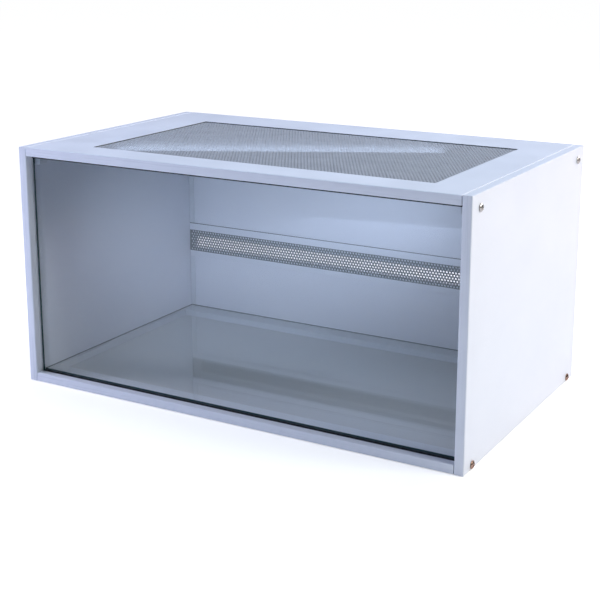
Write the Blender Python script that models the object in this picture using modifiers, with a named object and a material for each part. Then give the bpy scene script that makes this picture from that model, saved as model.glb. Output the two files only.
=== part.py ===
# Hamster cage: a white board cabinet with a clear lift-out front pane in two dark
# channels, a perforated lid lying in the top board, a perforated vent strip on the
# back and a glass floor.
# Metres, +Z up. The front faces -Y and the origin is at the bottom centre.

import bmesh
import bpy
import math
from mathutils import Vector

# Overall sizes, from board face to board face
WIDTH = 0.600
DEPTH = 0.360
HEIGHT = 0.303

# Boards
SIDE_BOARD = 0.011
TOP_BOARD = 0.011
BOTTOM_BOARD = 0.011
EDGE_BAND = 0.001
EDGE_ROUND = 0.0008
SHEET_ROUND = 0.0004
TRIM_ROUND = 0.00025
ROUND_SHARE = 1 / 3   # the most of a wall's thickness that a rounding may take

# Back panel, held in a groove on all four sides
BACK_BOARD = 0.005
BACK_INSET = 0.005
BACK_TONGUE = 0.005

# Front pane and its two channels; a groove is the room inside its channel
PANE = 0.005
PANE_INSET = 0.0115
PANE_LOWER_GROOVE = 0.004
PANE_UPPER_GROOVE = 0.0083
PANE_UPPER_GRIP = 0.0025
CHANNEL_WALL = 0.0008
LOWER_CHANNEL_PROUD = 0.0004
UPPER_CHANNEL_PROUD = 0.0036

# Lid sheet and the stepped opening it lies in
LID_MARGIN_LEFT = 0.081
LID_MARGIN_RIGHT = 0.060
LID_MARGIN_FRONT = 0.044
LID_MARGIN_REAR = 0.069
LID_SHEET = 0.001
LID_SUNK = 0.0012
LID_LEDGE = 0.0066

# Floor sheet and the opening under it
FLOOR_SHEET = 0.004
FLOOR_STEP = 0.0025
FLOOR_OPENING_FRONT = 0.039
FLOOR_OPENING_REAR = 0.035
FLOOR_LEDGE_SIDE = 0.006

# Vent slot, the perforated strip over it and the flat trims in the rear corners
VENT_SLOT_LOW = 0.103
VENT_SLOT_HEIGHT = 0.0175
VENT_SLOT_END = 0.012
VENT_STRIP_BELOW = 0.014
VENT_STRIP_ABOVE = 0.019
STRIP_SHEET = 0.001
TRIM_WIDTH = 0.008

# Corner blocks under the top board
BLOCK_WIDTH = 0.008
BLOCK_DEPTH = 0.014
BLOCK_HEIGHT = 0.012
BLOCK_SCREW_DROP = 0.0045
BLOCK_SCREW_FRONT = 0.0044
BLOCK_FIXING_REAR = 0.003

# Screws through the side panels
SCREW_SHANK = 0.0035
SCREW_HEAD = 0.0095
SCREW_RIM = 0.0008
SCREW_DOME = 0.0020
SCREW_LENGTH = 0.019
RECESS_LENGTH = 0.0046
RECESS_WIDTH = 0.0011
RECESS_DEPTH = 0.0014

# Screws from the corner blocks up into the top board
FIXING_SHANK = 0.0028
FIXING_HEAD = 0.0052
FIXING_RIM = 0.0006
FIXING_DOME = 0.0010
FIXING_BITE = 0.0070
FIXING_RECESS_LENGTH = 0.0026
FIXING_RECESS_WIDTH = 0.0007
FIXING_RECESS_DEPTH = 0.0006

# Clearances
FIT = 0.0003
END_GAP = 0.0008
PANE_PLAY = 0.0005
PANE_END_GAP = 0.0010
LID_PLAY = 0.0008
SHEET_GAP = 0.0005
CUT_PAST = 0.005

ROUND_STEPS = 16
DOME_STEPS = 4
SMOOTH_BELOW = math.radians(35)

# Places worked out from the sizes above
outer_x = WIDTH / 2
inner_x = outer_x - SIDE_BOARD
front_y = -DEPTH / 2
rear_y = DEPTH / 2
board_front_y = front_y + EDGE_BAND + FIT
cabin_top_z = HEIGHT - TOP_BOARD
back_outer_y = rear_y - BACK_INSET
back_inner_y = back_outer_y - BACK_BOARD
pane_front_y = front_y + PANE_INSET
pane_rear_y = pane_front_y + PANE
channel_front_y = pane_front_y - PANE_PLAY - CHANNEL_WALL
channel_rear_y = pane_rear_y + PANE_PLAY + CHANNEL_WALL
lower_groove_z = BOTTOM_BOARD - PANE_LOWER_GROOVE
upper_groove_z = cabin_top_z + PANE_UPPER_GROOVE
floor_ledge_z = BOTTOM_BOARD - FLOOR_STEP
floor_top_z = floor_ledge_z + FIT + FLOOR_SHEET
vent_slot_top_z = VENT_SLOT_LOW + VENT_SLOT_HEIGHT
strip_low_z = VENT_SLOT_LOW - VENT_STRIP_BELOW
strip_top_z = vent_slot_top_z + VENT_STRIP_ABOVE
strip_rear_y = back_inner_y - FIT
strip_front_y = strip_rear_y - STRIP_SHEET
lid_left_x = -outer_x + LID_MARGIN_LEFT
lid_right_x = outer_x - LID_MARGIN_RIGHT
lid_front_y = front_y + LID_MARGIN_FRONT
lid_rear_y = rear_y - LID_MARGIN_REAR
lid_top_z = HEIGHT - LID_SUNK
lid_low_z = lid_top_z - LID_SHEET
block_near_y = channel_rear_y + FIT
block_top_z = cabin_top_z - FIT
block_low_z = block_top_z - BLOCK_HEIGHT
side_screw_y = abs(block_near_y) - BLOCK_SCREW_FRONT
fixing_y = abs(block_near_y) - BLOCK_DEPTH + BLOCK_FIXING_REAR
fixing_x = inner_x - FIT - BLOCK_WIDTH / 2
screw_high_z = cabin_top_z - BLOCK_SCREW_DROP
screw_low_z = max(BOTTOM_BOARD / 2, SCREW_HEAD / 2 + FIT)

sides = {"left": -1, "right": 1}
ends = {"front": -1, "rear": 1}


def clear_scene():
    for old in list(bpy.data.objects):
        bpy.data.objects.remove(old, do_unlink=True)


def make_collection(name):
    group = bpy.data.collections.new(name)
    bpy.context.scene.collection.children.link(group)
    return group


def make_material(name, color, roughness, metallic=0.0, transmission=0.0):
    material = bpy.data.materials.new(name)
    material.use_nodes = True
    shader = material.node_tree.nodes["Principled BSDF"]
    shader.inputs["Base Color"].default_value = (*color, 1.0)
    shader.inputs["Roughness"].default_value = roughness
    shader.inputs["Metallic"].default_value = metallic
    shader.inputs["Transmission Weight"].default_value = transmission
    material.diffuse_color = (*color, 1.0)
    return material


def box_mesh(name, size):
    shape = bmesh.new()
    bmesh.ops.create_cube(shape, size=1.0)
    bmesh.ops.scale(shape, vec=size, verts=shape.verts)
    mesh = bpy.data.meshes.new(name)
    shape.to_mesh(mesh)
    shape.free()
    return mesh


def add_box(group, name, low, high):
    low, high = Vector(low), Vector(high)
    piece = bpy.data.objects.new(name, box_mesh(name, high - low))
    piece.location = (low + high) / 2
    group.objects.link(piece)
    return piece


def add_board(name, low, high, finish, rounding=EDGE_ROUND):
    piece = add_box(parts, name, low, high)
    piece.data.materials.append(make_material(name, *finish))
    bevel = piece.modifiers.new("rounded edges", "BEVEL")
    bevel.width = min(rounding, min(piece.dimensions) * ROUND_SHARE)
    bevel.segments = 2
    return piece


def add_box_cutter(name, low, high):
    cutter = add_box(cutters, name, low, high)
    hide_cutter(cutter)
    return cutter


def add_hole_cutter(name, start, end, radius):
    start, end = Vector(start), Vector(end)
    along = end - start
    shape = bmesh.new()
    bmesh.ops.create_cone(
        shape,
        cap_ends=True,
        segments=ROUND_STEPS,
        radius1=radius,
        radius2=radius,
        depth=along.length,
    )
    mesh = bpy.data.meshes.new(name)
    shape.to_mesh(mesh)
    shape.free()
    cutter = bpy.data.objects.new(name, mesh)
    cutter.location = (start + end) / 2
    cutter.rotation_mode = "QUATERNION"
    cutter.rotation_quaternion = along.to_track_quat("Z", "Y")
    cutters.objects.link(cutter)
    hide_cutter(cutter)
    return cutter


def hide_cutter(cutter):
    cutter.display_type = "WIRE"
    cutter.hide_render = True


def cut(piece, cutter):
    boolean = piece.modifiers.new(cutter.name, "BOOLEAN")
    boolean.operation = "DIFFERENCE"
    boolean.solver = "EXACT"
    boolean.object = cutter


def dome_profile(head, rim, dome, shank, length):
    """Half outline of a domed screw, from the crown down to the tip; the seat is at z = 0."""
    head_radius = head / 2
    curve_radius = (head_radius ** 2 + dome ** 2) / (2 * dome)
    curve_centre = rim + dome - curve_radius
    spread = math.asin(head_radius / curve_radius)
    outline = []
    for step in range(DOME_STEPS + 1):
        angle = spread * step / DOME_STEPS
        outline.append((curve_radius * math.sin(angle), curve_centre + curve_radius * math.cos(angle)))
    outline.append((head_radius, 0.0))
    outline.append((shank / 2, 0.0))
    outline.append((shank / 2, -length + shank))
    outline.append((0.0, -length))
    return outline


def turned_screw(name, outline, recess):
    """A screw turned from its half outline, with a cross recess, as one finished mesh."""
    mesh = bpy.data.meshes.new(name)
    mesh.from_pydata([(r, 0.0, z) for r, z in outline], [(i, i + 1) for i in range(len(outline) - 1)], [])
    blank = bpy.data.objects.new(name, mesh)
    cutters.objects.link(blank)
    turn = blank.modifiers.new("turn", "SCREW")
    turn.angle = 2 * math.pi
    turn.steps = ROUND_STEPS
    turn.render_steps = ROUND_STEPS
    turn.use_merge_vertices = True
    turn.merge_threshold = 0.00001
    recess_length, recess_width, recess_depth = recess
    crown_z = outline[0][1]
    for label, half_x, half_y in (
        ("long", recess_length / 2, recess_width / 2),
        ("cross", recess_width / 2, recess_length / 2),
    ):
        low = (-half_x, -half_y, crown_z - recess_depth)
        high = (half_x, half_y, crown_z + CUT_PAST)
        cut(blank, add_box_cutter(f"{name} recess {label}", low, high))
    bpy.context.view_layer.update()
    evaluated = blank.evaluated_get(bpy.context.evaluated_depsgraph_get())
    finished = bpy.data.meshes.new_from_object(evaluated)
    finished.name = f"{name} turned"
    bpy.data.objects.remove(blank, do_unlink=True)
    finished.shade_smooth()
    finished.set_sharp_from_angle(angle=SMOOTH_BELOW)
    return finished


def add_screw(name, mesh, seat, direction, finish):
    screw = bpy.data.objects.new(name, mesh.copy())
    screw.location = seat
    screw.rotation_mode = "QUATERNION"
    screw.rotation_quaternion = Vector(direction).to_track_quat("Z", "Y")
    screw.data.materials.clear()
    screw.data.materials.append(make_material(name, *finish))
    parts.objects.link(screw)


def side_screw_cutters(side):
    """Holes along X at the four corners of one side panel, each on to the tip of its screw."""
    sign = sides[side]
    holes = {}
    for end, end_sign in ends.items():
        for level, z in (("high", screw_high_z), ("low", screw_low_z)):
            y = end_sign * side_screw_y
            start = (sign * (outer_x + CUT_PAST), y, z)
            tip = (sign * (outer_x + FIT - SCREW_LENGTH - FIT), y, z)
            name = f"hole {side} {end} {level}"
            holes[end, level] = add_hole_cutter(name, start, tip, SCREW_SHANK / 2 + FIT)
    return holes


def side_panel(side, holes, groove):
    sign = sides[side]
    x_low, x_high = sorted((sign * inner_x, sign * outer_x))
    panel = add_board(f"{side}_panel", (x_low, board_front_y, 0.0), (x_high, rear_y, HEIGHT), white_board)
    for hole in holes.values():
        cut(panel, hole)
    cut(panel, groove)
    add_board(
        f"{side}_edge_band",
        (x_low, front_y, 0.0),
        (x_high, front_y + EDGE_BAND, HEIGHT),
        edge_strip,
    )


def back_groove_cutter():
    """The room that the back panel needs in the boards around it."""
    reach = inner_x + BACK_TONGUE + FIT
    low = (-reach, back_inner_y - FIT, BOTTOM_BOARD - BACK_TONGUE - FIT)
    high = (reach, back_outer_y + FIT, cabin_top_z + BACK_TONGUE + FIT)
    return add_box_cutter("back groove", low, high)


def back_panel():
    reach = inner_x + BACK_TONGUE
    low = (-reach, back_inner_y, BOTTOM_BOARD - BACK_TONGUE)
    high = (reach, back_outer_y, cabin_top_z + BACK_TONGUE)
    panel = add_board("back_panel", low, high, white_board)
    slot_reach = inner_x - VENT_SLOT_END
    slot = add_box_cutter(
        "vent slot",
        (-slot_reach, back_inner_y - CUT_PAST, VENT_SLOT_LOW),
        (slot_reach, back_outer_y + CUT_PAST, vent_slot_top_z),
    )
    cut(panel, slot)


def top_frame(holes, groove):
    reach = inner_x - END_GAP
    frame = add_board(
        "top_frame",
        (-reach, board_front_y, cabin_top_z),
        (reach, rear_y, HEIGHT),
        white_board,
    )
    step = add_box_cutter(
        "lid step",
        (lid_left_x, lid_front_y, lid_low_z - FIT),
        (lid_right_x, lid_rear_y, HEIGHT + CUT_PAST),
    )
    opening = add_box_cutter(
        "lid opening",
        (lid_left_x + LID_LEDGE, lid_front_y + LID_LEDGE, cabin_top_z - CUT_PAST),
        (lid_right_x - LID_LEDGE, lid_rear_y - LID_LEDGE, HEIGHT + CUT_PAST),
    )
    channel_room = add_box_cutter(
        "upper channel room",
        (-outer_x, channel_front_y - FIT, cabin_top_z - CUT_PAST),
        (outer_x, channel_rear_y + FIT, upper_groove_z + CHANNEL_WALL + FIT),
    )
    for cutter in (step, opening, channel_room, groove, *holes):
        cut(frame, cutter)
    add_board(
        "top_edge_band",
        (-reach, front_y, cabin_top_z),
        (reach, front_y + EDGE_BAND, HEIGHT),
        edge_strip,
    )


def bottom_frame(holes, groove):
    reach = inner_x - END_GAP
    frame = add_board(
        "bottom_frame",
        (-reach, board_front_y, 0.0),
        (reach, rear_y, BOTTOM_BOARD),
        white_board,
    )
    step = add_box_cutter(
        "floor step",
        (-outer_x, channel_rear_y, floor_ledge_z),
        (outer_x, back_inner_y, BOTTOM_BOARD + CUT_PAST),
    )
    opening_x = inner_x - FLOOR_LEDGE_SIDE
    opening = add_box_cutter(
        "floor opening",
        (-opening_x, front_y + FLOOR_OPENING_FRONT, -CUT_PAST),
        (opening_x, rear_y - FLOOR_OPENING_REAR, BOTTOM_BOARD + CUT_PAST),
    )
    channel_room = add_box_cutter(
        "lower channel room",
        (-outer_x, channel_front_y - FIT, lower_groove_z - CHANNEL_WALL - FIT),
        (outer_x, channel_rear_y + FIT, BOTTOM_BOARD + CUT_PAST),
    )
    for cutter in (step, opening, channel_room, groove, *holes):
        cut(frame, cutter)
    add_board(
        "bottom_edge_band",
        (-reach, front_y, 0.0),
        (reach, front_y + EDGE_BAND, BOTTOM_BOARD),
        edge_strip,
    )


def pane_channels():
    """Two U-shaped channels lining the grooves: the open side is up below and down above."""
    reach = inner_x - SHEET_GAP
    lower_top_z = BOTTOM_BOARD + LOWER_CHANNEL_PROUD
    upper_low_z = cabin_top_z - UPPER_CHANNEL_PROUD
    spans = {
        "lower_channel": (lower_groove_z - CHANNEL_WALL, lower_top_z, lower_groove_z, lower_top_z + CUT_PAST),
        "upper_channel": (upper_low_z, upper_groove_z + CHANNEL_WALL, upper_low_z - CUT_PAST, upper_groove_z),
    }
    for name, (z_low, z_high, room_low, room_high) in spans.items():
        channel = add_board(
            name,
            (-reach, channel_front_y, z_low),
            (reach, channel_rear_y, z_high),
            dark_plastic,
            TRIM_ROUND,
        )
        room = add_box_cutter(
            f"{name} inside",
            (-outer_x, pane_front_y - PANE_PLAY, room_low),
            (outer_x, pane_rear_y + PANE_PLAY, room_high),
        )
        cut(channel, room)


def front_glass():
    reach = inner_x - PANE_END_GAP
    low = (-reach, pane_front_y, lower_groove_z + FIT)
    high = (reach, pane_rear_y, cabin_top_z + PANE_UPPER_GRIP)
    add_board("front_glass", low, high, clear_glass, SHEET_ROUND)


def floor_glass():
    reach = inner_x - SHEET_GAP
    low = (-reach, channel_rear_y + SHEET_GAP, floor_ledge_z + FIT)
    high = (reach, back_inner_y - SHEET_GAP, floor_top_z)
    add_board("floor_glass", low, high, clear_glass, SHEET_ROUND)


def mesh_lid():
    low = (lid_left_x + LID_PLAY, lid_front_y + LID_PLAY, lid_low_z)
    high = (lid_right_x - LID_PLAY, lid_rear_y - LID_PLAY, lid_top_z)
    add_board("mesh_lid", low, high, grey_steel, TRIM_ROUND)


def vent_strip():
    reach = inner_x - SHEET_GAP
    low = (-reach, strip_front_y, strip_low_z)
    high = (reach, strip_rear_y, strip_top_z)
    add_board("vent_strip", low, high, white_metal, TRIM_ROUND)


def corner_trims():
    levels = {
        "lower": (floor_top_z + FIT, strip_low_z - FIT),
        "upper": (strip_top_z + FIT, cabin_top_z - FIT),
    }
    for side, sign in sides.items():
        x_low, x_high = sorted((sign * (inner_x - FIT), sign * (inner_x - FIT - TRIM_WIDTH)))
        for level, (z_low, z_high) in levels.items():
            add_board(
                f"{level}_{side}_trim",
                (x_low, strip_front_y, z_low),
                (x_high, strip_rear_y, z_high),
                white_plastic,
                TRIM_ROUND,
            )


def corner_blocks(side_holes):
    """Blocks under the top board, and the holes of their own upright screws in it."""
    head_recess = FIXING_RIM + FIXING_DOME
    fixing_top_z = block_low_z + head_recess + BLOCK_HEIGHT + FIXING_BITE
    upright_holes = []
    for side, sign in sides.items():
        for end, end_sign in ends.items():
            x_low, x_high = sorted((sign * (inner_x - FIT), sign * (inner_x - FIT - BLOCK_WIDTH)))
            near_y, far_y = abs(block_near_y), abs(block_near_y) - BLOCK_DEPTH
            y_low, y_high = sorted((end_sign * near_y, end_sign * far_y))
            name = f"{end}_{side}_block"
            block = add_board(
                name,
                (x_low, y_low, block_low_z),
                (x_high, y_high, block_top_z),
                white_plastic,
            )
            x, y = sign * fixing_x, end_sign * fixing_y
            shank_hole = add_hole_cutter(
                f"{name} upright hole",
                (x, y, block_low_z - CUT_PAST),
                (x, y, fixing_top_z + FIT),
                FIXING_SHANK / 2 + FIT,
            )
            head_hole = add_hole_cutter(
                f"{name} head hole",
                (x, y, block_low_z - CUT_PAST),
                (x, y, block_low_z + head_recess),
                FIXING_HEAD / 2 + FIT,
            )
            cut(block, shank_hole)
            cut(block, head_hole)
            cut(block, side_holes[side][end, "high"])
            upright_holes.append(shank_hole)
    return upright_holes


def all_screws():
    outline = dome_profile(SCREW_HEAD, SCREW_RIM, SCREW_DOME, SCREW_SHANK, SCREW_LENGTH)
    screw = turned_screw("side screw", outline, (RECESS_LENGTH, RECESS_WIDTH, RECESS_DEPTH))
    fixing_length = BLOCK_HEIGHT + FIXING_BITE
    outline = dome_profile(FIXING_HEAD, FIXING_RIM, FIXING_DOME, FIXING_SHANK, fixing_length)
    recess = (FIXING_RECESS_LENGTH, FIXING_RECESS_WIDTH, FIXING_RECESS_DEPTH)
    fixing = turned_screw("block screw", outline, recess)
    seat_z = block_low_z + FIXING_RIM + FIXING_DOME - FIT
    for side, sign in sides.items():
        for end, end_sign in ends.items():
            y = end_sign * side_screw_y
            for level, z in (("high", screw_high_z), ("low", screw_low_z)):
                seat = (sign * (outer_x + FIT), y, z)
                add_screw(f"{end}_{side}_{level}_screw", screw, seat, (sign, 0.0, 0.0), bright_steel)
            seat = (sign * fixing_x, end_sign * fixing_y, seat_z)
            add_screw(f"{end}_{side}_block_screw", fixing, seat, (0.0, 0.0, -1.0), bright_steel)


white_board = ((0.82, 0.85, 0.92), 0.42)
edge_strip = ((0.78, 0.82, 0.90), 0.35)
clear_glass = ((0.86, 0.94, 0.92), 0.03, 0.0, 1.0)
grey_steel = ((0.42, 0.44, 0.48), 0.38, 0.9)
white_metal = ((0.74, 0.79, 0.87), 0.40)
white_plastic = ((0.76, 0.81, 0.88), 0.45)
dark_plastic = ((0.03, 0.04, 0.05), 0.40)
bright_steel = ((0.62, 0.60, 0.58), 0.22, 1.0)

clear_scene()
parts = make_collection("hamster_cage")
cutters = make_collection("cutters")
side_holes = {side: side_screw_cutters(side) for side in sides}
back_groove = back_groove_cutter()
upright_holes = corner_blocks(side_holes)
low_holes = [side_holes[side][end, "low"] for side in sides for end in ends]
for side in sides:
    side_panel(side, side_holes[side], back_groove)
top_frame(upright_holes, back_groove)
bottom_frame(low_holes, back_groove)
back_panel()
vent_strip()
corner_trims()
pane_channels()
front_glass()
floor_glass()
mesh_lid()
all_screws()
bpy.context.view_layer.update()
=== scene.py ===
import math

import bpy
import numpy as np
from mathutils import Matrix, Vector
from mathutils.geometry import delaunay_2d_cdt


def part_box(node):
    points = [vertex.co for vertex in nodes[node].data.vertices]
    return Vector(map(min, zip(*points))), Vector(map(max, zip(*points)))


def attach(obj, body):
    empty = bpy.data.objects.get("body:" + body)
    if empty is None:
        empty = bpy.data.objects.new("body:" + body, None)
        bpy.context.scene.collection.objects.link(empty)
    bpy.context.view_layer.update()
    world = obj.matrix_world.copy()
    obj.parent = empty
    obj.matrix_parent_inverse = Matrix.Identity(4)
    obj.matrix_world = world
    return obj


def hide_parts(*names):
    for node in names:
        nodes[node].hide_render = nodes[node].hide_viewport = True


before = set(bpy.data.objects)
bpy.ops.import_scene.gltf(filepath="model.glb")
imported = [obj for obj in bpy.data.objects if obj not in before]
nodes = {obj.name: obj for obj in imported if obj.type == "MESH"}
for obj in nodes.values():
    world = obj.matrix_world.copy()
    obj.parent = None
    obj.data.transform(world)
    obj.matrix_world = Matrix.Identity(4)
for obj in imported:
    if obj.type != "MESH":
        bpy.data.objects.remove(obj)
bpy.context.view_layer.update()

scene = bpy.context.scene
sideNames = ("left", "right")
endNames = ("front", "rear")


def meshPiece(name, points, polygons, materials, slotOfFace=None, smoothAngle=None):
    # Puts whole arrays of points and faces into a new object at the origin.
    mesh = bpy.data.meshes.new(name)
    mesh.from_pydata(np.asarray(points, float).tolist(), [], polygons)
    for material in materials:
        mesh.materials.append(material)
    if slotOfFace is not None:
        mesh.polygons.foreach_set("material_index", np.asarray(slotOfFace, np.int32))
    mesh.validate()
    mesh.update()
    if smoothAngle is not None:
        mesh.shade_smooth()
        mesh.set_sharp_from_angle(angle=math.radians(smoothAngle))
    piece = bpy.data.objects.new(name, mesh)
    scene.collection.objects.link(piece)
    return piece


def place(piece, body, replaced):
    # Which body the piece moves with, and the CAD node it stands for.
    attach(piece, body)
    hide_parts(replaced)


def spun(profile, around):
    # A half outline (radius, height) turned about Z: every row of the grid is one outline
    # point carried round a full circle; the first and last points sit on the axis.
    radii, heights = profile[:, 0], profile[:, 1]
    angles = 2 * np.pi * np.arange(around) / around
    x = np.outer(radii, np.cos(angles))
    y = np.outer(radii, np.sin(angles))
    z = np.repeat(heights[:, None], around, axis=1)
    return x, y, z


def spunFaces(rows, around):
    # Quads between neighbouring rings, and a fan of triangles at each end point.
    ring = np.arange(around)
    onward = (ring + 1) % around
    starts = 1 + np.arange(rows - 1)[:, None] * around
    quads = np.stack([starts + ring, starts + around + ring,
                      starts + around + onward, starts + onward], axis=-1).reshape(-1, 4)
    first = np.stack([np.zeros_like(ring), 1 + ring, 1 + onward], axis=-1)
    base = 1 + (rows - 1) * around
    last = np.stack([np.full_like(ring, base + around), base + onward, base + ring], axis=-1)
    return first.tolist() + quads.tolist() + last.tolist()


def newMaterial(name):
    # A fresh shader, and the object's own coordinates in metres.
    material = bpy.data.materials.new(name)
    material.use_nodes = True
    tree = material.node_tree
    shader = tree.nodes["Principled BSDF"]
    coords = tree.nodes.new("ShaderNodeTexCoord")
    return material, tree, shader, coords.outputs["Object"]


def noise(tree, vector, scale, detail=2.0, roughness=0.5, stretch=None):
    # Cloudy pattern; stretch below one along an axis draws it out into lines that way.
    if stretch is not None:
        mapping = tree.nodes.new("ShaderNodeMapping")
        mapping.inputs["Scale"].default_value = stretch
        tree.links.new(vector, mapping.inputs["Vector"])
        vector = mapping.outputs["Vector"]
    node = tree.nodes.new("ShaderNodeTexNoise")
    node.inputs["Scale"].default_value = scale
    node.inputs["Detail"].default_value = detail
    node.inputs["Roughness"].default_value = roughness
    tree.links.new(vector, node.inputs["Vector"])
    return node.outputs["Fac"]


def spread(tree, value, low, high, fromLow=0.3, fromHigh=0.7):
    # The span fromLow to fromHigh is carried to the span low to high.
    node = tree.nodes.new("ShaderNodeMapRange")
    node.inputs["From Min"].default_value = fromLow
    node.inputs["From Max"].default_value = fromHigh
    node.inputs["To Min"].default_value = low
    node.inputs["To Max"].default_value = high
    tree.links.new(value, node.inputs["Value"])
    return node.outputs["Result"]


def times(tree, first, second):
    node = tree.nodes.new("ShaderNodeMath")
    node.operation = "MULTIPLY"
    tree.links.new(first, node.inputs[0])
    tree.links.new(second, node.inputs[1])
    return node.outputs[0]


# A Mix node holds one set of sockets for each data type; these are its colour ones.
mixFactor, mixFirst, mixSecond, mixResult = 0, 6, 7, 2


def mixColours(tree, factor, first, second):
    # First and second are either plain colours or sockets.
    node = tree.nodes.new("ShaderNodeMix")
    node.data_type = "RGBA"
    tree.links.new(factor, node.inputs[mixFactor])
    for index, colour in ((mixFirst, first), (mixSecond, second)):
        if isinstance(colour, tuple):
            node.inputs[index].default_value = (*colour, 1.0)
        else:
            tree.links.new(colour, node.inputs[index])
    return node.outputs[mixResult]


def bump(tree, height, distance, under=None):
    node = tree.nodes.new("ShaderNodeBump")
    node.inputs["Distance"].default_value = distance
    node.inputs["Strength"].default_value = 1.0
    tree.links.new(height, node.inputs["Height"])
    if under is not None:
        tree.links.new(under, node.inputs["Normal"])
    return node.outputs["Normal"]


boardFinish = dict(
    light=(0.780, 0.815, 0.885),
    dark=(0.750, 0.787, 0.862),
    mottleScale=9.0,
    roughLow=0.28,
    roughHigh=0.40,
    smearScale=22.0,
    smearStretch=(1.0, 1.0, 2.5),
    grainScale=900.0,
    grainDepth=0.000003,
    waveScale=150.0,
    waveDepth=0.000012,
    # Near-black painted shade, with lighter flecks, for the rebate walls round the lid.
    recessShade=(0.060, 0.075, 0.085),
    recessShadeFleck=(0.110, 0.120, 0.125),
    recessFleckScale=800.0,
    ior=1.48,
)


def insideBox(tree, coords, low, high):
    # One inside the box and zero outside it: each axis compares its distance from the
    # middle with half the box's length, and the three answers are multiplied.
    axes = tree.nodes.new("ShaderNodeSeparateXYZ")
    tree.links.new(coords, axes.inputs["Vector"])
    inside = None
    for axis in range(3):
        near = tree.nodes.new("ShaderNodeMath")
        near.operation = "COMPARE"
        near.inputs[1].default_value = (low[axis] + high[axis]) / 2
        near.inputs[2].default_value = (high[axis] - low[axis]) / 2
        tree.links.new(axes.outputs[axis], near.inputs[0])
        answer = near.outputs[0]
        inside = answer if inside is None else times(tree, inside, answer)
    return inside


def boardMaterial(name, cutBox=None):
    # White laminate: a fine grain, a slight orange peel and faint wiped smears in the gloss.
    # Inside the cut box, the rebate round the lid, the board is painted near-black with lighter
    # flecks: painted shade in the recess.
    v = boardFinish
    material, tree, shader, coords = newMaterial(name)
    mottle = spread(tree, noise(tree, coords, v["mottleScale"], 4.0), 0.0, 1.0)
    facing = mixColours(tree, mottle, v["light"], v["dark"])
    if cutBox is not None:
        shadeFlecks = spread(tree, noise(tree, coords, v["recessFleckScale"], 2.0), 0.0, 1.0)
        recessShade = mixColours(tree, shadeFlecks, v["recessShade"], v["recessShadeFleck"])
        facing = mixColours(tree, insideBox(tree, coords, *cutBox), facing, recessShade)
    tree.links.new(facing, shader.inputs["Base Color"])
    smear = noise(tree, coords, v["smearScale"], 5.0, 0.6, stretch=v["smearStretch"])
    tree.links.new(spread(tree, smear, v["roughLow"], v["roughHigh"]), shader.inputs["Roughness"])
    wave = bump(tree, noise(tree, coords, v["waveScale"], 1.0), v["waveDepth"])
    grain = bump(tree, noise(tree, coords, v["grainScale"], 1.0), v["grainDepth"], under=wave)
    tree.links.new(grain, shader.inputs["Normal"])
    shader.inputs["IOR"].default_value = v["ior"]
    return material


stripFinish = dict(
    light=(0.765, 0.800, 0.870),
    dark=(0.735, 0.772, 0.845),
    roughLow=0.24,
    roughHigh=0.34,
    toneScale=30.0,
    lineScale=420.0,
    lineStretch=0.02,
    lineDepth=0.000012,
)


def stripMaterial(name, along):
    # Extruded edge strip: fine lines run along its length.
    v = stripFinish
    material, tree, shader, coords = newMaterial(name)
    stretch = [1.0, 1.0, 1.0]
    stretch["xyz".index(along)] = v["lineStretch"]
    lines = noise(tree, coords, v["lineScale"], 3.0, 0.6, stretch=tuple(stretch))
    tone = spread(tree, noise(tree, coords, v["toneScale"], 3.0), 0.0, 1.0)
    tree.links.new(mixColours(tree, tone, v["light"], v["dark"]), shader.inputs["Base Color"])
    tree.links.new(spread(tree, lines, v["roughLow"], v["roughHigh"]), shader.inputs["Roughness"])
    tree.links.new(bump(tree, lines, v["lineDepth"]), shader.inputs["Normal"])
    return material


sheetFinish = dict(
    lidLight=(0.560, 0.590, 0.640),
    lidDark=(0.460, 0.488, 0.535),
    lidMetallic=0.25,
    ventLight=(0.770, 0.805, 0.870),
    ventDark=(0.740, 0.778, 0.848),
    ventMetallic=0.0,
    ventWeb=(0.185, 0.222, 0.232),
    # Painted shade along the vent strip's top edge.
    ventEdgeShade=(0.100, 0.120, 0.140),
    cloudScale=26.0,
    grainScale=2600.0,
    grainDepth=0.000012,
    roughLow=0.30,
    roughHigh=0.46,
)


def sheetMaterial(name, light, dark, metallic, bands=()):
    # Coated sheet metal: cloudy tone from handling, a fine spray grain. Each band is a box of the
    # sheet with another colour, such as the vent's painted shade along its top edge.
    v = sheetFinish
    material, tree, shader, coords = newMaterial(name)
    cloud = noise(tree, coords, v["cloudScale"], 5.0, 0.6)
    tone = spread(tree, cloud, 0.0, 1.0)
    coat = mixColours(tree, tone, light, dark)
    for low, high, colour in bands:
        coat = mixColours(tree, insideBox(tree, coords, low, high), coat, colour)
    tree.links.new(coat, shader.inputs["Base Color"])
    grain = noise(tree, coords, v["grainScale"], 2.0)
    tree.links.new(spread(tree, cloud, v["roughLow"], v["roughHigh"]), shader.inputs["Roughness"])
    tree.links.new(bump(tree, grain, v["grainDepth"]), shader.inputs["Normal"])
    shader.inputs["Metallic"].default_value = metallic
    return material


plasticFinish = dict(
    whiteLight=(0.700, 0.745, 0.800),
    whiteDark=(0.660, 0.705, 0.765),
    # Near-black tones for the glass channels: painted shade in the grooves round the pane.
    grooveShadeLight=(0.020, 0.026, 0.032),
    grooveShadeDark=(0.012, 0.016, 0.020),
    toneScale=60.0,
    roughLow=0.38,
    roughHigh=0.50,
    grainScale=1800.0,
    grainDepth=0.000008,
)


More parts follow.
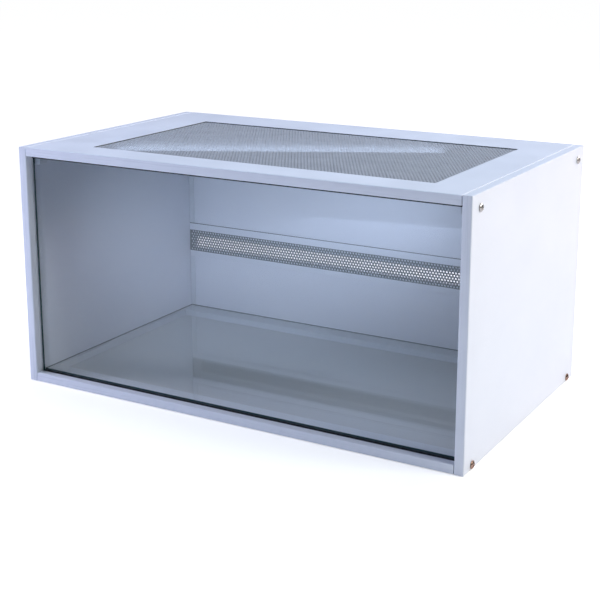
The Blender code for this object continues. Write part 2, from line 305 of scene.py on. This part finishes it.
def plasticMaterial(name, light, dark):
    # Plain moulded plastic: a very slight change of tone under a fine matt grain.
    v = plasticFinish
    material, tree, shader, coords = newMaterial(name)
    tone = spread(tree, noise(tree, coords, v["toneScale"], 3.0), 0.0, 1.0)
    tree.links.new(mixColours(tree, tone, light, dark), shader.inputs["Base Color"])
    grain = noise(tree, coords, v["grainScale"], 2.0)
    tree.links.new(spread(tree, grain, v["roughLow"], v["roughHigh"]), shader.inputs["Roughness"])
    tree.links.new(bump(tree, grain, v["grainDepth"]), shader.inputs["Normal"])
    return material


glassFinish = dict(
    clear=(0.985, 0.996, 0.992),
    lampTint=(0.985, 0.995, 0.99),
    ior=1.50,
    smudgeScale=16.0,
    smudgeStretch=(1.0, 1.0, 2.0),
    smudgeFrom=0.55,
    smudgeTo=0.80,
    roughLow=0.0,
    roughHigh=0.012,
    # The glass's green edge, darkened nearly to black as painted shade.
    edgeGreenAndShade=(0.020, 0.075, 0.075),
    edgeDeeper=0.7,
    edgeRough=0.22,
    edgeLines=900.0,
    edgeStretch=(0.05, 1.0, 1.0),
    edgeDepth=0.00002,
)


def glassMaterial():
    # Float glass: clear for the eye and for lamps alike, with faint wiped smudges.
    v = glassFinish
    material, tree, shader, coords = newMaterial("clearGlass")
    shader.inputs["Base Color"].default_value = (*v["clear"], 1.0)
    shader.inputs["Transmission Weight"].default_value = 1.0
    shader.inputs["IOR"].default_value = v["ior"]
    smudge = noise(tree, coords, v["smudgeScale"], 5.0, 0.6, stretch=v["smudgeStretch"])
    rough = spread(tree, smudge, v["roughLow"], v["roughHigh"], v["smudgeFrom"], v["smudgeTo"])
    tree.links.new(rough, shader.inputs["Roughness"])
    passing = tree.nodes.new("ShaderNodeBsdfTransparent")
    passing.inputs["Color"].default_value = (*v["lampTint"], 1.0)
    path = tree.nodes.new("ShaderNodeLightPath")
    mix = tree.nodes.new("ShaderNodeMixShader")
    tree.links.new(path.outputs["Is Shadow Ray"], mix.inputs["Fac"])
    tree.links.new(shader.outputs["BSDF"], mix.inputs[1])
    tree.links.new(passing.outputs["BSDF"], mix.inputs[2])
    tree.links.new(mix.outputs["Shader"], tree.nodes["Material Output"].inputs["Surface"])
    return material


def glassEdgeMaterial():
    # Ground edge of the pane: green, because light comes out of it along the sheet, and darkened
    # nearly to black as painted shade in the grooves round it.
    v = glassFinish
    material, tree, shader, coords = newMaterial("groundGlassEdge")
    lines = noise(tree, coords, v["edgeLines"], 3.0, stretch=v["edgeStretch"])
    tone = spread(tree, lines, 0.0, 1.0)
    deeper = tuple(v["edgeDeeper"] * part for part in v["edgeGreenAndShade"])
    tree.links.new(mixColours(tree, tone, v["edgeGreenAndShade"], deeper), shader.inputs["Base Color"])
    shader.inputs["Roughness"].default_value = v["edgeRough"]
    tree.links.new(bump(tree, lines, v["edgeDepth"]), shader.inputs["Normal"])
    return material


steelFinish = dict(
    light=(0.640, 0.615, 0.600),
    dark=(0.420, 0.385, 0.370),
    # Painted reflection: the brown of a floor seen in the lower screw heads.
    floorReflection=(0.400, 0.270, 0.215),
    reflectionFrom=0.012,
    reflectionTo=0.060,
    roughLow=0.14,
    roughHigh=0.30,
    wearScale=700.0,
    wearDepth=0.00001,
)


def steelMaterial():
    # Nickel plate, a little tarnished in the low spots, and painted brown near the ground: a
    # painted reflection of a brown floor in the lower heads.
    v = steelFinish
    material, tree, shader, coords = newMaterial("brightSteel")
    wear = noise(tree, coords, v["wearScale"], 4.0, 0.6)
    tone = spread(tree, wear, 0.0, 1.0)
    plate = mixColours(tree, tone, v["light"], v["dark"])
    axes = tree.nodes.new("ShaderNodeSeparateXYZ")
    tree.links.new(coords, axes.inputs["Vector"])
    low = spread(tree, axes.outputs["Z"], 1.0, 0.0, v["reflectionFrom"], v["reflectionTo"])
    tree.links.new(mixColours(tree, low, plate, v["floorReflection"]), shader.inputs["Base Color"])
    tree.links.new(spread(tree, wear, v["roughLow"], v["roughHigh"]), shader.inputs["Roughness"])
    tree.links.new(bump(tree, wear, v["wearDepth"]), shader.inputs["Normal"])
    shader.inputs["Metallic"].default_value = 1.0
    return material


ventZones = dict(webLow=0.0084, webHigh=0.0400, edge=0.0008, over=0.001)


def ventBands():
    # The holes' band is dark grey, and the sheet's top edge is painted dark: painted shade in the
    # gap above it. The margins are white.
    v = ventZones
    low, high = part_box("vent_strip")
    over = v["over"]
    webLow = (low.x - over, low.y - over, low.z + v["webLow"])
    webHigh = (high.x + over, high.y + over, low.z + v["webHigh"])
    shadeLow = (low.x - over, low.y - over, high.z - v["edge"])
    shadeHigh = (high.x + over, high.y + over, high.z + over)
    return [(webLow, webHigh, sheetFinish["ventWeb"]),
            (shadeLow, shadeHigh, sheetFinish["ventEdgeShade"])]


lidCut = dict(play=0.0012, under=0.0001)


def lidCutBox():
    # The rebate and opening round the lid, from below the board to just under its face; inside it
    # the board is painted near-black as shade.
    play = lidCut["play"]
    low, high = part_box("mesh_lid")
    boardLow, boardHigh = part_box("top_frame")
    return ((low.x - play, low.y - play, boardLow.z - play),
            (high.x + play, high.y + play, boardHigh.z - lidCut["under"]))


board = boardMaterial("whiteLaminate")
topBoard = boardMaterial("whiteLaminateCut", lidCutBox())
strips = {along: stripMaterial(f"edgeStrip{along.upper()}", along) for along in "xz"}
lidSteel = sheetMaterial("greySheet", sheetFinish["lidLight"], sheetFinish["lidDark"],
                         sheetFinish["lidMetallic"])
ventWhite = sheetMaterial("paleSheet", sheetFinish["ventLight"], sheetFinish["ventDark"],
                          sheetFinish["ventMetallic"], ventBands())
whitePlastic = plasticMaterial("whitePlastic", plasticFinish["whiteLight"],
                               plasticFinish["whiteDark"])
grooveShadePlastic = plasticMaterial("grooveShadePlastic", plasticFinish["grooveShadeLight"],
                              plasticFinish["grooveShadeDark"])
clearGlass = glassMaterial()
glassEdge = glassEdgeMaterial()
steel = steelMaterial()
print("materials made")


def holeCentres(width, height, pitch, margin):
    # Staggered rows: the rows lie pitch * root(3) / 2 apart, and every other row is moved
    # along by half a pitch. The pattern is centred on the sheet.
    rowStep = pitch * math.sqrt(3) / 2
    rows = int((height - 2 * margin) // rowStep) + 1
    count = int((width - 2 * margin - pitch / 2) // pitch) + 1
    row, step = np.meshgrid(np.arange(rows), np.arange(count), indexing="ij")
    across = (step - (count - 1) / 2) * pitch + np.where(row % 2 == 0, -pitch / 4, pitch / 4)
    upwards = (row - (rows - 1) / 2) * rowStep
    return np.stack([across.ravel(), upwards.ravel()], axis=-1)


nearEnough = 1e-9   # corners closer than this would be merged


def perforatedSheet(width, height, thickness, centres, radius, sides):
    # Each hole is a regular polygon of points round its centre. The flat face is the
    # triangulation of all rims and the outline, without the triangles whose three corners
    # lie on one rim. The far face is its copy, and quads join the two along every rim.
    angles = 2 * np.pi * (np.arange(sides) + 0.5) / sides
    rim = radius * np.stack([np.cos(angles), np.sin(angles)], axis=-1)
    rims = (centres[:, None, :] + rim[None, :, :]).reshape(-1, 2)
    outline = np.array([(-1, -1), (1, -1), (1, 1), (-1, 1)]) * (width / 2, height / 2)
    flat = np.vstack([rims, outline])
    holes = len(centres)
    first = np.arange(holes * sides)
    onward = first - first % sides + (first + 1) % sides
    corner = holes * sides + np.arange(4)
    cornerOnward = np.roll(corner, -1)
    rimEdges = np.stack([first, onward], axis=-1)
    outlineEdges = np.stack([corner, cornerOnward], axis=-1)
    edges = np.vstack([rimEdges, outlineEdges])
    corners = [Vector(point) for point in flat.tolist()]
    _, _, made, *_ = delaunay_2d_cdt(corners, edges.tolist(), [], 0, nearEnough, False)
    triangles = np.array(made)
    owner = np.concatenate([first // sides, holes + np.arange(4)])
    own = owner[triangles]
    inHole = (own[:, 0] == own[:, 1]) & (own[:, 1] == own[:, 2])
    triangles = triangles[~inHole]
    total = len(flat)
    near = np.column_stack([flat, np.full(total, thickness / 2)])
    far = np.column_stack([flat, np.full(total, -thickness / 2)])
    a, b, c = (flat[triangles[:, k]] for k in range(3))
    turn = (b[:, 0] - a[:, 0]) * (c[:, 1] - a[:, 1]) - (b[:, 1] - a[:, 1]) * (c[:, 0] - a[:, 0])
    triangles[turn < 0] = triangles[turn < 0][:, ::-1]
    rimWalls = np.stack([first, onward, onward + total, first + total], axis=-1)
    outlineWalls = np.stack([corner, corner + total, cornerOnward + total, cornerOnward], axis=-1)
    faces = triangles.tolist() + (triangles[:, ::-1] + total).tolist()
    faces += rimWalls.tolist() + outlineWalls.tolist()
    return np.vstack([near, far]), faces


lidSheet = dict(pitch=0.0043, hole=0.0027, sides=6, margin=0.0022)
ventSheet = dict(pitch=0.0044, hole=0.0027, sides=12, margin=0.0030,
                 lowHoles=0.0092, highHoles=0.0392)


def makeLid():
    # The flat pattern is laid over the middle of the node's box.
    v = lidSheet
    low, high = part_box("mesh_lid")
    size, centre = high - low, (low + high) / 2
    centres = holeCentres(size.x, size.y, v["pitch"], v["margin"])
    points, faces = perforatedSheet(size.x, size.y, size.z, centres, v["hole"] / 2, v["sides"])
    points = points + np.array(centre)
    lid = meshPiece("perforatedLid", points, faces, [lidSteel])
    place(lid, "mesh_lid", "mesh_lid")
    print("lid sheet", len(centres), "holes", len(faces), "faces")


def makeVent():
    # The holes fill a band of the strip, so the pattern is worked out for the band alone.
    # The sheet is made flat, then stood up: its height becomes Z and its thickness Y.
    v = ventSheet
    low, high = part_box("vent_strip")
    size, centre = high - low, (low + high) / 2
    bandLow, bandHigh = low.z + v["lowHoles"], low.z + v["highHoles"]
    centres = holeCentres(size.x, bandHigh - bandLow, v["pitch"], v["margin"] / 2)
    centres[:, 1] += (bandLow + bandHigh) / 2 - centre.z
    points, faces = perforatedSheet(size.x, size.z, size.y, centres, v["hole"] / 2, v["sides"])
    upright = np.column_stack([points[:, 0], -points[:, 2], points[:, 1]])
    vent = meshPiece("perforatedVent", upright + np.array(centre), faces, [ventWhite])
    place(vent, "cabinet", "vent_strip")
    print("vent sheet", len(centres), "holes", len(faces), "faces")


makeLid()
makeVent()


paneEdges = dict(arris=0.0006, steps=3)


def makePane(name, node, body, thin):
    # A slab whose six faces are a unit cube's stretched to the node's box; its long edges
    # are rounded. The faces across the thin direction are clear, the others are edge.
    low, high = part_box(node)
    centre, half = np.array((low + high) / 2), np.array((high - low) / 2)
    signs = np.array(np.meshgrid([-1, 1], [-1, 1], [-1, 1], indexing="ij")).reshape(3, -1).T
    faces = [[0, 1, 3, 2], [4, 6, 7, 5], [0, 4, 5, 1], [2, 3, 7, 6], [0, 2, 6, 4], [1, 5, 7, 3]]
    slotOfFace = np.array([0 if thin == axis else 1 for axis in "xxyyzz"])
    pane = meshPiece(name, centre + signs * half, faces, [clearGlass, glassEdge], slotOfFace)
    bevel = pane.modifiers.new("arris", "BEVEL")
    bevel.width = paneEdges["arris"]
    bevel.segments = paneEdges["steps"]
    bevel.material = 1
    place(pane, body, node)


makePane("frontPane", "front_glass", "front_glass", "y")
makePane("floorPane", "floor_glass", "cabinet", "z")
print("panes made")


edgeStrip = dict(round=0.0009, steps=6, smoothAngle=40)


def stripProfile(width, depth):
    # Outline of a strip seen along its length: flat back, and the two front corners
    # follow quarter circles. First coordinate across the board's thickness, second depth.
    r, steps = edgeStrip["round"], edgeStrip["steps"]
    quarter = np.linspace(0, np.pi / 2, steps + 1)
    right = np.stack([width / 2 - r + r * np.cos(quarter),
                      -(depth - r + r * np.sin(quarter))], axis=-1)
    left = right[::-1] * np.array([-1, 1])
    back = np.array([(-width / 2, 0.0), (width / 2, 0.0)])
    return np.vstack([back, right, left])


def makeStrip(name, node, along):
    # The outline is carried in a straight line along X or Z, and closed with two caps. Its
    # axes change hands when it runs along Z, so the faces are turned round there.
    low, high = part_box(node)
    centre, size = (low + high) / 2, high - low
    width = size.x if along == "z" else size.z
    length = size.z if along == "z" else size.x
    profile = stripProfile(width, size.y)
    count = len(profile)
    across, depth = profile[:, 0], profile[:, 1] + high.y
    ends = np.array([-length / 2, length / 2])
    run = np.repeat(ends, count)
    side, deep = np.tile(across, 2), np.tile(depth, 2)
    if along == "z":
        points = np.column_stack([side + centre.x, deep, run + centre.z])
    else:
        points = np.column_stack([run + centre.x, deep, side + centre.z])
    ring = np.arange(count)
    onward = (ring + 1) % count
    walls = np.stack([ring, onward, onward + count, ring + count], axis=-1)
    caps = [ring[::-1].tolist(), (ring + count).tolist()]
    faces = walls.tolist() + caps
    if along == "z":
        faces = [face[::-1] for face in faces]
    strip = meshPiece(name, points, faces, [strips[along]], smoothAngle=edgeStrip["smoothAngle"])
    place(strip, "cabinet", node)


makeStrip("leftEdgeStrip", "left_edge_band", "z")
makeStrip("rightEdgeStrip", "right_edge_band", "z")
makeStrip("topEdgeStrip", "top_edge_band", "x")
makeStrip("bottomEdgeStrip", "bottom_edge_band", "x")
print("edge strips made")


screwShape = dict(around=72, domeRings=30, rimShare=0.26, rimSoft=0.12, wingLong=0.27,
                  wingWide=0.060, wingSoft=0.018, wingDeep=0.16, taper=0.55, smoothAngle=50)


def screwGrid(head, headHeight, shank, length):
    # Height above the seat: a shallow cap of a sphere on a short upright rim, minus a
    # cross-shaped recess that is deepest in the middle. Below the seat, a shank and a tip.
    v = screwShape
    radius = head / 2
    rim = headHeight * v["rimShare"]
    dome = headHeight - rim
    sphere = (radius ** 2 + dome ** 2) / (2 * dome)
    domeRadii = radius * np.linspace(0, 1, v["domeRings"] + 1)
    domeHeights = rim + dome - sphere + np.sqrt(sphere ** 2 - domeRadii ** 2)
    soften = v["rimSoft"] * rim
    lowRadii = [radius, radius - soften, shank / 2, shank / 2, 0.0]
    lowHeights = [soften, 0.0, 0.0, -length + shank, -length]
    radii = np.concatenate([domeRadii, lowRadii])
    heights = np.concatenate([domeHeights, lowHeights])
    x, y, z = spun(np.stack([radii, heights], axis=-1), v["around"])
    near, far = np.minimum(abs(x), abs(y)), np.maximum(abs(x), abs(y))
    wingLong, wingWide, soft = v["wingLong"] * head, v["wingWide"] * head, v["wingSoft"] * head
    inWidth = np.clip((wingWide - near) / soft + 0.5, 0, 1)
    inLength = np.clip((wingLong - far) / soft + 0.5, 0, 1)
    depth = v["wingDeep"] * head * (1 - v["taper"] * far / wingLong)
    onDome = np.arange(len(radii))[:, None] <= v["domeRings"]
    z = z - np.where(onDome, inWidth * inLength * np.clip(depth, 0, None), 0)
    grid = np.stack([x, y, z], axis=-1)
    inner = grid[1:-1].reshape(-1, 3)
    points = np.vstack([grid[0, :1], inner, grid[-1, :1]])
    return points, spunFaces(len(radii) - 2, v["around"])


def makeScrew(name, node, axis, seat, headHeight, head, shank, length, turn):
    # The grid is turned about its own axis, then laid along the axis it is driven in on.
    points, faces = screwGrid(head, headHeight, shank, length)
    cos, sin = math.cos(turn), math.sin(turn)
    spin = np.array([(cos, -sin, 0), (sin, cos, 0), (0, 0, 1)])
    facing = np.array(Vector(axis).to_track_quat("Z", "Y").to_matrix())
    points = points @ spin.T @ facing.T + np.array(seat)
    screw = meshPiece(name, points, faces, [steel], smoothAngle=screwShape["smoothAngle"])
    place(screw, "cabinet", node)


# Turns are in radians; standOff is the gap between the head's seat and the board's face.
sideScrew = dict(shank=0.0035, standOff=0.0003, turns=(0.35, 1.1, 0.75, 0.15), turnBySide=0.2)
blockScrew = dict(shank=0.0028, headHeight=0.0016, turn=0.4)


def makeSideScrew(sign, side, end, level, turn):
    # The head fills the node's box outside the board, and the shank the rest of it.
    v = sideScrew
    node = f"{end}_{side}_{level}_screw"
    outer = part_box(f"{side}_panel")[0 if sign < 0 else 1].x
    low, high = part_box(node)
    centre = (low + high) / 2
    headHeight = abs((low if sign < 0 else high).x - outer) - v["standOff"]
    seat = (outer + sign * v["standOff"], centre.y, centre.z)
    makeScrew(f"{end}{side.title()}{level.title()}Screw", node, (sign, 0, 0), seat, headHeight,
              high.z - low.z, v["shank"], (high - low).x - headHeight, turn)


def makeBlockScrew(side, end):
    # Driven upwards: the head hangs at the bottom of the node's box.
    v = blockScrew
    node = f"{end}_{side}_block_screw"
    low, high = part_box(node)
    centre = (low + high) / 2
    seat = (centre.x, centre.y, low.z + v["headHeight"])
    makeScrew(f"{end}{side.title()}BlockScrew", node, (0, 0, -1), seat, v["headHeight"],
              high.x - low.x, v["shank"], (high - low).z - v["headHeight"], v["turn"])


def makeScrews():
    for sign, side in zip((-1, 1), sideNames):
        turns = iter(sideScrew["turns"])
        for end in endNames:
            for level in ("high", "low"):
                turn = next(turns) + sideScrew["turnBySide"] * sign
                makeSideScrew(sign, side, end, level, turn)
            makeBlockScrew(side, end)


makeScrews()
print("screws made")


def finish(node, material):
    # A CAD node keeps its mesh and gets a new material in each of its slots.
    for slot in nodes[node].material_slots:
        slot.material = material


for node in ("left_panel", "right_panel", "bottom_frame", "back_panel"):
    finish(node, board)
finish("top_frame", topBoard)
# The glass channels are near-black: painted shade in the grooves round the pane.
for level in ("upper", "lower"):
    finish(f"{level}_channel", grooveShadePlastic)
for side in sideNames:
    for level in ("upper", "lower"):
        finish(f"{level}_{side}_trim", whitePlastic)
    for end in endNames:
        finish(f"{end}_{side}_block", whitePlastic)
print("boards finished")


stageFinish = dict(rough=0.85, gloss=0.2, whiteLight=(1.0, 1.0, 1.0, 1.0))
stage = {
    "studioFloor": dict(half=(16.0, 16.0), tone=(0.95, 0.945, 0.93), drop=0.0006,
                        lift=0.42, farLift=0.97, liftFrom=0.6, liftTo=3.2),
    # The grey mat is painted shade under the cage.
    "underCageShadeMat": dict(half=(0.290, 0.172), tone=(0.66, 0.67, 0.68), drop=0.0003),
}


def floorLight(tree, shader, coords, v):
    # Towards white by a little light of the floor's own, more of it far from the object.
    # It shows to the eye only and lights nothing.
    path = tree.nodes.new("ShaderNodeLightPath")
    far = tree.nodes.new("ShaderNodeVectorMath")
    far.operation = "LENGTH"
    tree.links.new(coords, far.inputs[0])
    lift = spread(tree, far.outputs["Value"], v["lift"], v["farLift"], v["liftFrom"], v["liftTo"])
    lift = times(tree, lift, path.outputs["Is Camera Ray"])
    tree.links.new(lift, shader.inputs["Emission Strength"])
    shader.inputs["Emission Color"].default_value = stageFinish["whiteLight"]


def makeStage():
    # A wide pale floor, and a thin grey mat that the cage covers: painted shade under the cage.
    for name, v in stage.items():
        corners = np.array([(-1, -1), (1, -1), (1, 1), (-1, 1)]) * v["half"]
        points = np.column_stack([corners, np.full(4, -v["drop"])])
        material, tree, shader, coords = newMaterial(name)
        shader.inputs["Base Color"].default_value = (*v["tone"], 1.0)
        shader.inputs["Roughness"].default_value = stageFinish["rough"]
        shader.inputs["Specular IOR Level"].default_value = stageFinish["gloss"]
        if "lift" in v:
            floorLight(tree, shader, coords, v)
        meshPiece(name, points, [[0, 1, 2, 3]], [material])


# Powers in watts, sizes in metres. A lamp that isn't mirrored lights the cage without
# showing in its glass and gloss; the inside fill hangs under the front of the top board.
lamps = {
    "rightKey": dict(at=(2.035, 0.0, 1.422), size=1.2, power=29.9, tint=(0.99, 1.0, 0.94),
                     mirrored=True),
    "rightRear": dict(at=(1.039, 1.800, 1.350), size=1.2, power=28.6, tint=(1.0, 0.88, 0.98),
                      mirrored=True),
    "rear": dict(at=(0.0, 2.078, 1.350), size=1.2, power=7.7, tint=(0.82, 0.72, 1.0)),
    "leftRear": dict(at=(-1.470, 1.470, 1.350), size=1.2, power=7.9, tint=(0.70, 0.75, 1.0)),
    "leftFill": dict(at=(-1.0, -0.45, 0.60), size=0.4, power=7.1, tint=(0.77, 0.76, 1.0)),
    "overLid": dict(at=(0.15, 0.0, 1.30), size=0.5, power=5.9, tint=(0.56, 0.78, 1.0)),
    "lowFront": dict(at=(-0.20, -1.20, 0.20), size=0.5, power=2.4, tint=(0.58, 0.70, 1.0)),
    "throughPane": dict(at=(-0.35, -1.70, 0.95), size=0.9, power=2.2, tint=(0.72, 0.82, 1.0)),
    "insideFill": dict(at=(0.0, -0.06, 0.272), size=0.12, length=0.40, power=0.20,
                       tint=(0.68, 0.79, 1.0), aim=(-0.12, 0.17, 0.12), beam=80),
}
lampAim = (0.0, 0.0, 0.15)   # the middle of the cage, where a lamp without its own aim points
wideBeam = 180   # degrees
sky = dict(tone=(0.80, 0.88, 1.0), strength=0.03)


def makeLamps():
    # Soft rectangles of light, each turned to its aim, under an almost dark sky.
    for name, v in lamps.items():
        data = bpy.data.lights.new(name, "AREA")
        data.shape = "RECTANGLE"
        data.size = v.get("length", v["size"])
        data.size_y = v["size"]
        data.spread = math.radians(v.get("beam", wideBeam))
        data.energy = v["power"]
        data.color = v["tint"]
        lamp = bpy.data.objects.new(name, data)
        lamp.location = v["at"]
        aim = Vector(v.get("aim", lampAim)) - Vector(v["at"])
        lamp.rotation_euler = aim.to_track_quat("-Z", "Y").to_euler()
        lamp.visible_camera = False
        lamp.visible_glossy = lamp.visible_transmission = v.get("mirrored", False)
        scene.collection.objects.link(lamp)
    world = bpy.data.worlds.new("studio")
    world.use_nodes = True
    background = world.node_tree.nodes["Background"]
    background.inputs["Color"].default_value = (*sky["tone"], 1.0)
    background.inputs["Strength"].default_value = sky["strength"]
    scene.world = world
    scene.view_settings.view_transform = "Standard"


cameraPlace = dict(azimuth=29.96, elevation=13.78, distance=1.588, aim=(-0.0032, 0.0, 0.1827),
                   lens=75.6, filmWidth=36.0, shiftY=-0.1, nearest=0.05, farthest=80.0)


def makeCamera():
    # It looks at the aim point from the given bearing, elevation and distance.
    v = cameraPlace
    bearing, rise = math.radians(v["azimuth"]), math.radians(v["elevation"])
    back = Vector((math.sin(bearing) * math.cos(rise), -math.cos(bearing) * math.cos(rise),
                   math.sin(rise)))
    data = bpy.data.cameras.new("camera")
    data.lens = v["lens"]
    data.sensor_width = v["filmWidth"]
    data.shift_y = v["shiftY"]
    data.clip_start, data.clip_end = v["nearest"], v["farthest"]
    camera = bpy.data.objects.new("camera", data)
    camera.location = Vector(v["aim"]) + back * v["distance"]
    camera.rotation_euler = (-back).to_track_quat("-Z", "Y").to_euler()
    scene.collection.objects.link(camera)
    scene.camera = camera


makeStage()
makeLamps()
makeCamera()
print("stage, lamps and camera made")
